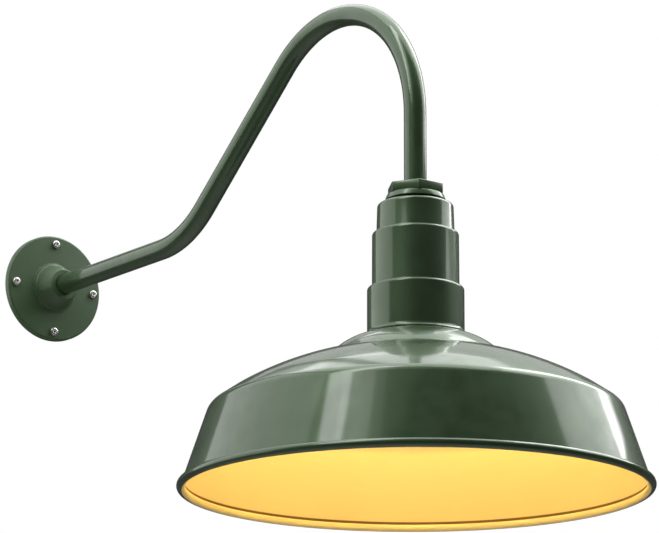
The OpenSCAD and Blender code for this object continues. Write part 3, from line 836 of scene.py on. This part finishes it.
@dataclass
class Shade:
    """The spun shade: collar dome, crown, shoulder, skirt and rolled bead, lined in cream enamel with
    painted warm light, and with painted shade in the bead's groove.
    """

    thickness: float = 1.2 * MM
    hole: float = 37.2 * MM
    collar_in: float = 48 * MM
    collar_out: float = 85 * MM
    collar_drop: float = 21 * MM
    crown_drop: float = 51.5 * MM
    shoulder_round: float = 15 * MM
    skirt_drop: float = 72.5 * MM
    skirt_flare: float = 24.2 * MM
    bead: float = 4.3 * MM
    bead_gap: float = 0.6 * MM
    bead_lift: float = 1.3 * MM
    dome_bow: float = 3.6 * MM
    crown_bow: float = 6.6 * MM
    collar_round: float = 1.2 * MM
    crown_steps: int = 24
    crease_height: float = 2.8 * MM
    # The heights, above the bead's centre, of the band of lining painted in the groove's shade.
    painted_shade_band: Point = (2.4 * MM, 7.2 * MM)
    lining_turn: float = -10.0
    lining_rise: float = 3 * MM
    faces_up: float = 0.8
    steps: int = 224

    def build(self, axis: LampAxis) -> None:
        """Turns the sheet, paints its faces and dresses what clamps it.

        Args:
            axis: the lamp's axis.
        """
        low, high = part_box("shade")
        outer = (high.x - low.x) / 2
        top = high.z
        skirt_out = outer - self.bead - self.bead_gap
        collar = (self.collar_out, top - self.collar_drop)
        shoulder = (skirt_out - self.skirt_flare, collar[1] - self.crown_drop)
        foot = (skirt_out, shoulder[1] - self.skirt_drop)
        centre = (outer - self.bead, foot[1] - self.bead + self.bead_lift)
        crown = bowed(collar, shoulder, self.crown_bow, 30)
        dome = bowed((self.collar_in, top), collar, self.dome_bow, 16)
        skirt = (Vector(shoulder) - Vector(foot)).normalized()
        last = crown[self.crown_steps]
        line = [
            (self.hole, top),
            *dome[:-1],
            *rounded(dome[-2], collar, crown[1], self.collar_round, 4),
            *crown[1:self.crown_steps + 1],
            *rounded(last, shoulder, foot, self.shoulder_round, 14),
            tuple(Vector(foot) + skirt * self.crease_height),
            *arc(centre, self.bead, 104, -216, 44),
        ]
        bm = bmesh.new()
        turn(bm, sheet(line, self.thickness), self.steps)
        bmesh.ops.recalc_face_normals(bm, faces=bm.faces)
        self.paint(bm, foot[1], centre)
        bm.transform(axis.place())
        piece = finish_mesh(bm, "spun_shade", 40.0)
        stand_for(piece, "shade", "fixture", Finish.GREEN_ENAMEL, Finish.LINING, Finish.PAINTED_GROOVE_SHADE)
        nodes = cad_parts
        # The clamp ring takes the lining's finish, painted warm tint and painted glow included.
        Paint.dress(nodes["clamp_ring"], Finish.LINING)
        Paint.dress(nodes["clamp_screws"], Finish.ZINC)
        Paint.dress(nodes["clamp_nuts"], Finish.ZINC)

    def paint(self, bm: bmesh.types.BMesh, foot: float, centre: Point) -> None:
        """Gives each face its slot: enamel outside, lining inside, painted shade in the curl and
        crease.

        Args:
            bm: the shade, about the Z axis, with its normals outward.
            foot: the height of the skirt's foot.
            centre: the bead's centre.
        """
        for face in bm.faces:
            middle = face.calc_center_median()
            out = Vector((middle.x, middle.y)).normalized()
            n = Vector((face.normal.xy.dot(out), face.normal.z))
            lean = math.radians(self.lining_turn if middle.z < foot + self.lining_rise else 45.0)
            inward = n.dot(Vector((math.cos(lean), math.sin(lean)))) < 0
            face.material_index = int(inward and n.y < self.faces_up)
            # Faces inside the bead's curl and a band of lining just above it get the brown painted
            # shade of the groove.
            curl = Vector((middle.xy.length, middle.z)) - Vector(centre)
            in_curl = curl.length < self.bead - self.thickness / 2
            low, high = self.painted_shade_band
            in_crease = face.material_index == 1 and low < curl.y < high
            if in_curl or in_crease:
                face.material_index = 2


@dataclass
class Socket:
    """The porcelain socket, its bracket, terminals and leads, which keep their CAD shapes."""

    finishes: dict[str, Finish] = field(default_factory=lambda: {
        "socket_body": Finish.PORCELAIN,
        "screw_shell": Finish.BRASS,
        "centre_contact": Finish.BRASS,
        "terminal_screws": Finish.BRASS,
        "socket_bracket": Finish.ZINC,
        "bracket_screws": Finish.ZINC,
        "earth_screw": Finish.EARTH_GREEN,
        "lead_bushing": Finish.BLACK_INSULATION,
        "live_lead": Finish.BLACK_INSULATION,
        "neutral_lead": Finish.WHITE_INSULATION,
        "earth_lead": Finish.GREEN_INSULATION,
    })

    def build(self) -> None:
        """Dresses the CAD nodes."""
        for node, finish in self.finishes.items():
            Paint.dress(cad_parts[node], finish)
            LOG.info("%s keeps its CAD shape, in %s", node, finish.value.name)


@dataclass
class Bulb:
    """The screw-in bulb."""

    ball: float = 30 * MM
    neck: float = 12.2 * MM
    neck_round: float = 22 * MM
    lean: float = 35.0
    glass: float = 0.8 * MM
    cap_wall: float = 0.5 * MM
    cap_slope: Point = (3.6 * MM, 2.8 * MM)
    cap_round: float = 1 * MM
    pitch: float = 3.629 * MM
    thread_rise: float = 0.75 * MM

    def build(self, axis: LampAxis) -> None:
        """Builds the glass and the threaded cap, and dresses the rest.

        Args:
            axis: the lamp's axis.
        """
        self.envelope(axis)
        self.cap(axis)
        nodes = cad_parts
        Paint.dress(nodes["bulb_contact"], Finish.SOLDER)
        Paint.dress(nodes["bulb_insulator"], Finish.BLACK_GLASS)
        Paint.dress(nodes["bulb_stem"], Finish.CLEAR_GLASS)
        Paint.dress(nodes["filament_supports"], Finish.SOLDER)
        Paint.dress(nodes["filament"], Finish.TUNGSTEN)

    def envelope(self, axis: LampAxis) -> None:
        """The frosted glass, a ball drawn up into a neck."""
        low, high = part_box("bulb_glass")
        ball = self.ball
        middle = low.z + ball
        lean = math.radians(self.lean)
        corner = (self.neck, middle + (ball - self.neck * math.cos(lean)) / math.sin(lean))
        touch = (ball * math.cos(lean), middle + ball * math.sin(lean))
        line = [(self.neck, high.z), *rounded((self.neck, high.z), corner, touch, self.neck_round, 12),
                *arc((0.0, middle), ball, self.lean, -90, 36)]
        line[-1] = (0.0, line[-1][1])
        bm = bmesh.new()
        turn(bm, sheet(line, self.glass), 96, False)
        piece = finish_mesh(bm, "frosted_glass")
        piece.data.transform(axis.place())
        stand_for(piece, "bulb_glass", "bulb", Finish.BULB_GLASS)

    def cap(self, axis: LampAxis) -> None:
        """The cap's thin shell with its rolled right-hand thread."""
        low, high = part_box("bulb_cap")
        radius = (high.x - low.x) / 2
        core = radius - self.thread_rise
        top = high.z
        start = (radius - self.cap_slope[0], top)
        line = [start,
                *rounded(start, (core, top - self.cap_slope[1]), (core, low.z), self.cap_round, 4),
                (core, low.z + 2 * MM), (radius - 0.1 * MM, low.z + 1.2 * MM),
                (radius - 0.1 * MM, low.z)]
        bm = bmesh.new()
        turn(bm, sheet(line, self.cap_wall), 96)
        tooth = arc((core - 0.4 * MM, 0.0), self.thread_rise + 0.4 * MM, -80, 80, 8)
        turns = (top - low.z - 9 * MM) / self.pitch
        helix(bm, tooth, top - 4.4 * MM, self.pitch, turns, 48)
        piece = finish_mesh(bm, "threaded_cap", 45.0)
        piece.data.transform(axis.place())
        stand_for(piece, "bulb_cap", "bulb", Finish.BRASS)


# ---- the studio ----------------------------------------------------------------------------


@dataclass
class Camera:
    """A long lens that looks up at the lamp from its left."""

    place: Triple = (-1.8768, -3.0430, -0.8832)
    azimuth: float = -38.323
    pitch: float = 14.401
    roll: float = -0.219
    lens: float = 175.88
    shift: Point = (-0.1307, -0.0043)

    def axes(self) -> tuple[Vector, Vector, Vector]:
        """The directions of the picture's right, its top and the view."""
        a, p, roll = (math.radians(v) for v in (self.azimuth, self.pitch, self.roll))
        ahead = Vector((-math.sin(a) * math.cos(p), math.cos(a) * math.cos(p), math.sin(p)))
        level = Vector((math.cos(a), math.sin(a), 0.0))
        above = level.cross(ahead)
        right = level * math.cos(roll) + above * math.sin(roll)
        top = above * math.cos(roll) - level * math.sin(roll)
        return right, top, ahead

    def build(self) -> None:
        """Makes the camera the scene's own."""
        data = bpy.data.cameras.new("camera")
        data.lens, data.sensor_width = self.lens, 36.0
        data.shift_x, data.shift_y = self.shift
        data.clip_end = 50.0
        cam = bpy.data.objects.new("camera", data)
        right, top, ahead = self.axes()
        turned = Matrix((right, top, -ahead)).transposed().to_4x4()
        cam.matrix_world = Matrix.Translation(self.place) @ turned
        bpy.context.scene.collection.objects.link(cam)
        bpy.context.scene.camera = cam


@dataclass(frozen=True)
class Softbox:
    """A flat lamp that faces the lantern, stated as the lantern sees it.

    bearing is its direction round the lamp's axis, anticlockwise from the camera's, and height is
    above the horizon; across and along are how wide and tall it looks. All four are in degrees.
    """

    name: str
    bearing: float
    height: float
    across: float
    along: float
    radiance: float
    distance: float = 2.2

    def build(self, camera: Camera, target: Vector) -> None:
        """Hangs the softbox and aims it.

        Args:
            camera: the camera that the bearing counts from.
            target: the point that it faces.
        """
        data = bpy.data.lights.new(self.name, "AREA")
        data.shape = "RECTANGLE"
        data.size, data.size_y = (2 * self.distance * math.tan(math.radians(a) / 2)
                                  for a in (self.across, self.along))
        data.energy = self.radiance * math.pi * data.size * data.size_y
        lamp = bpy.data.objects.new(self.name, data)
        angle = math.radians(camera.azimuth - 90 + self.bearing)
        up = math.radians(self.height)
        away = Vector((math.cos(angle) * math.cos(up), math.sin(angle) * math.cos(up), math.sin(up)))
        lamp.location = target + away * self.distance
        lamp.rotation_euler = away.to_track_quat("Z", "Y").to_euler()
        lamp.visible_camera = False
        bpy.context.scene.collection.objects.link(lamp)


@dataclass
class Studio:
    """The pale floor, the plain backdrop and the soft lights."""

    floor_height: float = -2.9
    floor_size: float = 9.0
    aim_below_hub: float = 0.15
    room_light: float = 0.06
    boxes: tuple[Softbox, ...] = (
        Softbox("right_box", 113, 43, 48, 44, 2.6),
        Softbox("right_strip", 129, 43, 8, 46, 5.0),
        Softbox("left_wall", -98, 24, 62, 66, 1.2),
        Softbox("left_strip", -47, 56, 11, 52, 5.2),
        Softbox("left_glow", -35, 48, 14, 44, 1.3),
        Softbox("left_fade", -28, 48, 14, 40, 0.5),
        Softbox("top_box", 166, 76, 62, 56, 2.0),
        Softbox("rear_wall", 180, 38, 48, 24, 0.55),
    )

    def build(self, camera: Camera, axis: LampAxis) -> None:
        """Builds the floor, the backdrop and the lights.

        Args:
            camera: the camera that the lights are placed by.
            axis: the lamp's axis, which they face.
        """
        self.floor()
        self.backdrop()
        target = Vector((axis.x, axis.y, axis.hub_top - self.aim_below_hub))
        for box in self.boxes:
            box.build(camera, target)

    def floor(self) -> None:
        """A plain pale floor well below the lantern."""
        bm = bmesh.new()
        bmesh.ops.create_grid(bm, x_segments=1, y_segments=1, size=self.floor_size / 2)
        bmesh.ops.translate(bm, verts=bm.verts, vec=(0, 0, self.floor_height))
        floor = link_mesh(bm, "floor", 30.0)
        n = Nodes("floor_paper")
        n.put("Base Color", (0.82, 0.82, 0.81, 1))
        n.put("Roughness", 0.9)
        floor.data.materials.append(n.material)

    def backdrop(self) -> None:
        """A white backdrop for the eye, and a darker room for the gloss to mirror."""
        world = bpy.data.worlds.new("studio")
        world.use_nodes = True
        tree = world.node_tree
        tree.nodes.clear()
        out = tree.nodes.new("ShaderNodeOutputWorld")
        mix = tree.nodes.new("ShaderNodeMixShader")
        path = tree.nodes.new("ShaderNodeLightPath")
        seen, room = (tree.nodes.new("ShaderNodeBackground") for _ in range(2))
        seen.inputs["Color"].default_value = (1, 1, 1, 1)
        seen.inputs["Strength"].default_value = 1.0
        room.inputs["Color"].default_value = (1, 1, 1, 1)
        room.inputs["Strength"].default_value = self.room_light
        tree.links.new(path.outputs["Is Camera Ray"], mix.inputs["Fac"])
        tree.links.new(room.outputs["Background"], mix.inputs[1])
        tree.links.new(seen.outputs["Background"], mix.inputs[2])
        tree.links.new(mix.outputs["Shader"], out.inputs["Surface"])
        scene = bpy.context.scene
        scene.world = world
        scene.view_settings.view_transform = "Standard"
        scene.view_settings.look = "None"


def main() -> None:
    """Builds the camera, the lantern and the studio."""
    logging.basicConfig(level=logging.INFO, format="%(name)s: %(message)s")
    camera = Camera()
    camera.build()
    axis = LampAxis()
    WallFlange().build()
    Gooseneck().build(axis)
    Hub().build(axis)
    Neck().build(axis)
    Shade().build(axis)
    Socket().build()
    Bulb().build(axis)
    Studio().build(camera, axis)


if __name__ == "__main__":
    main()
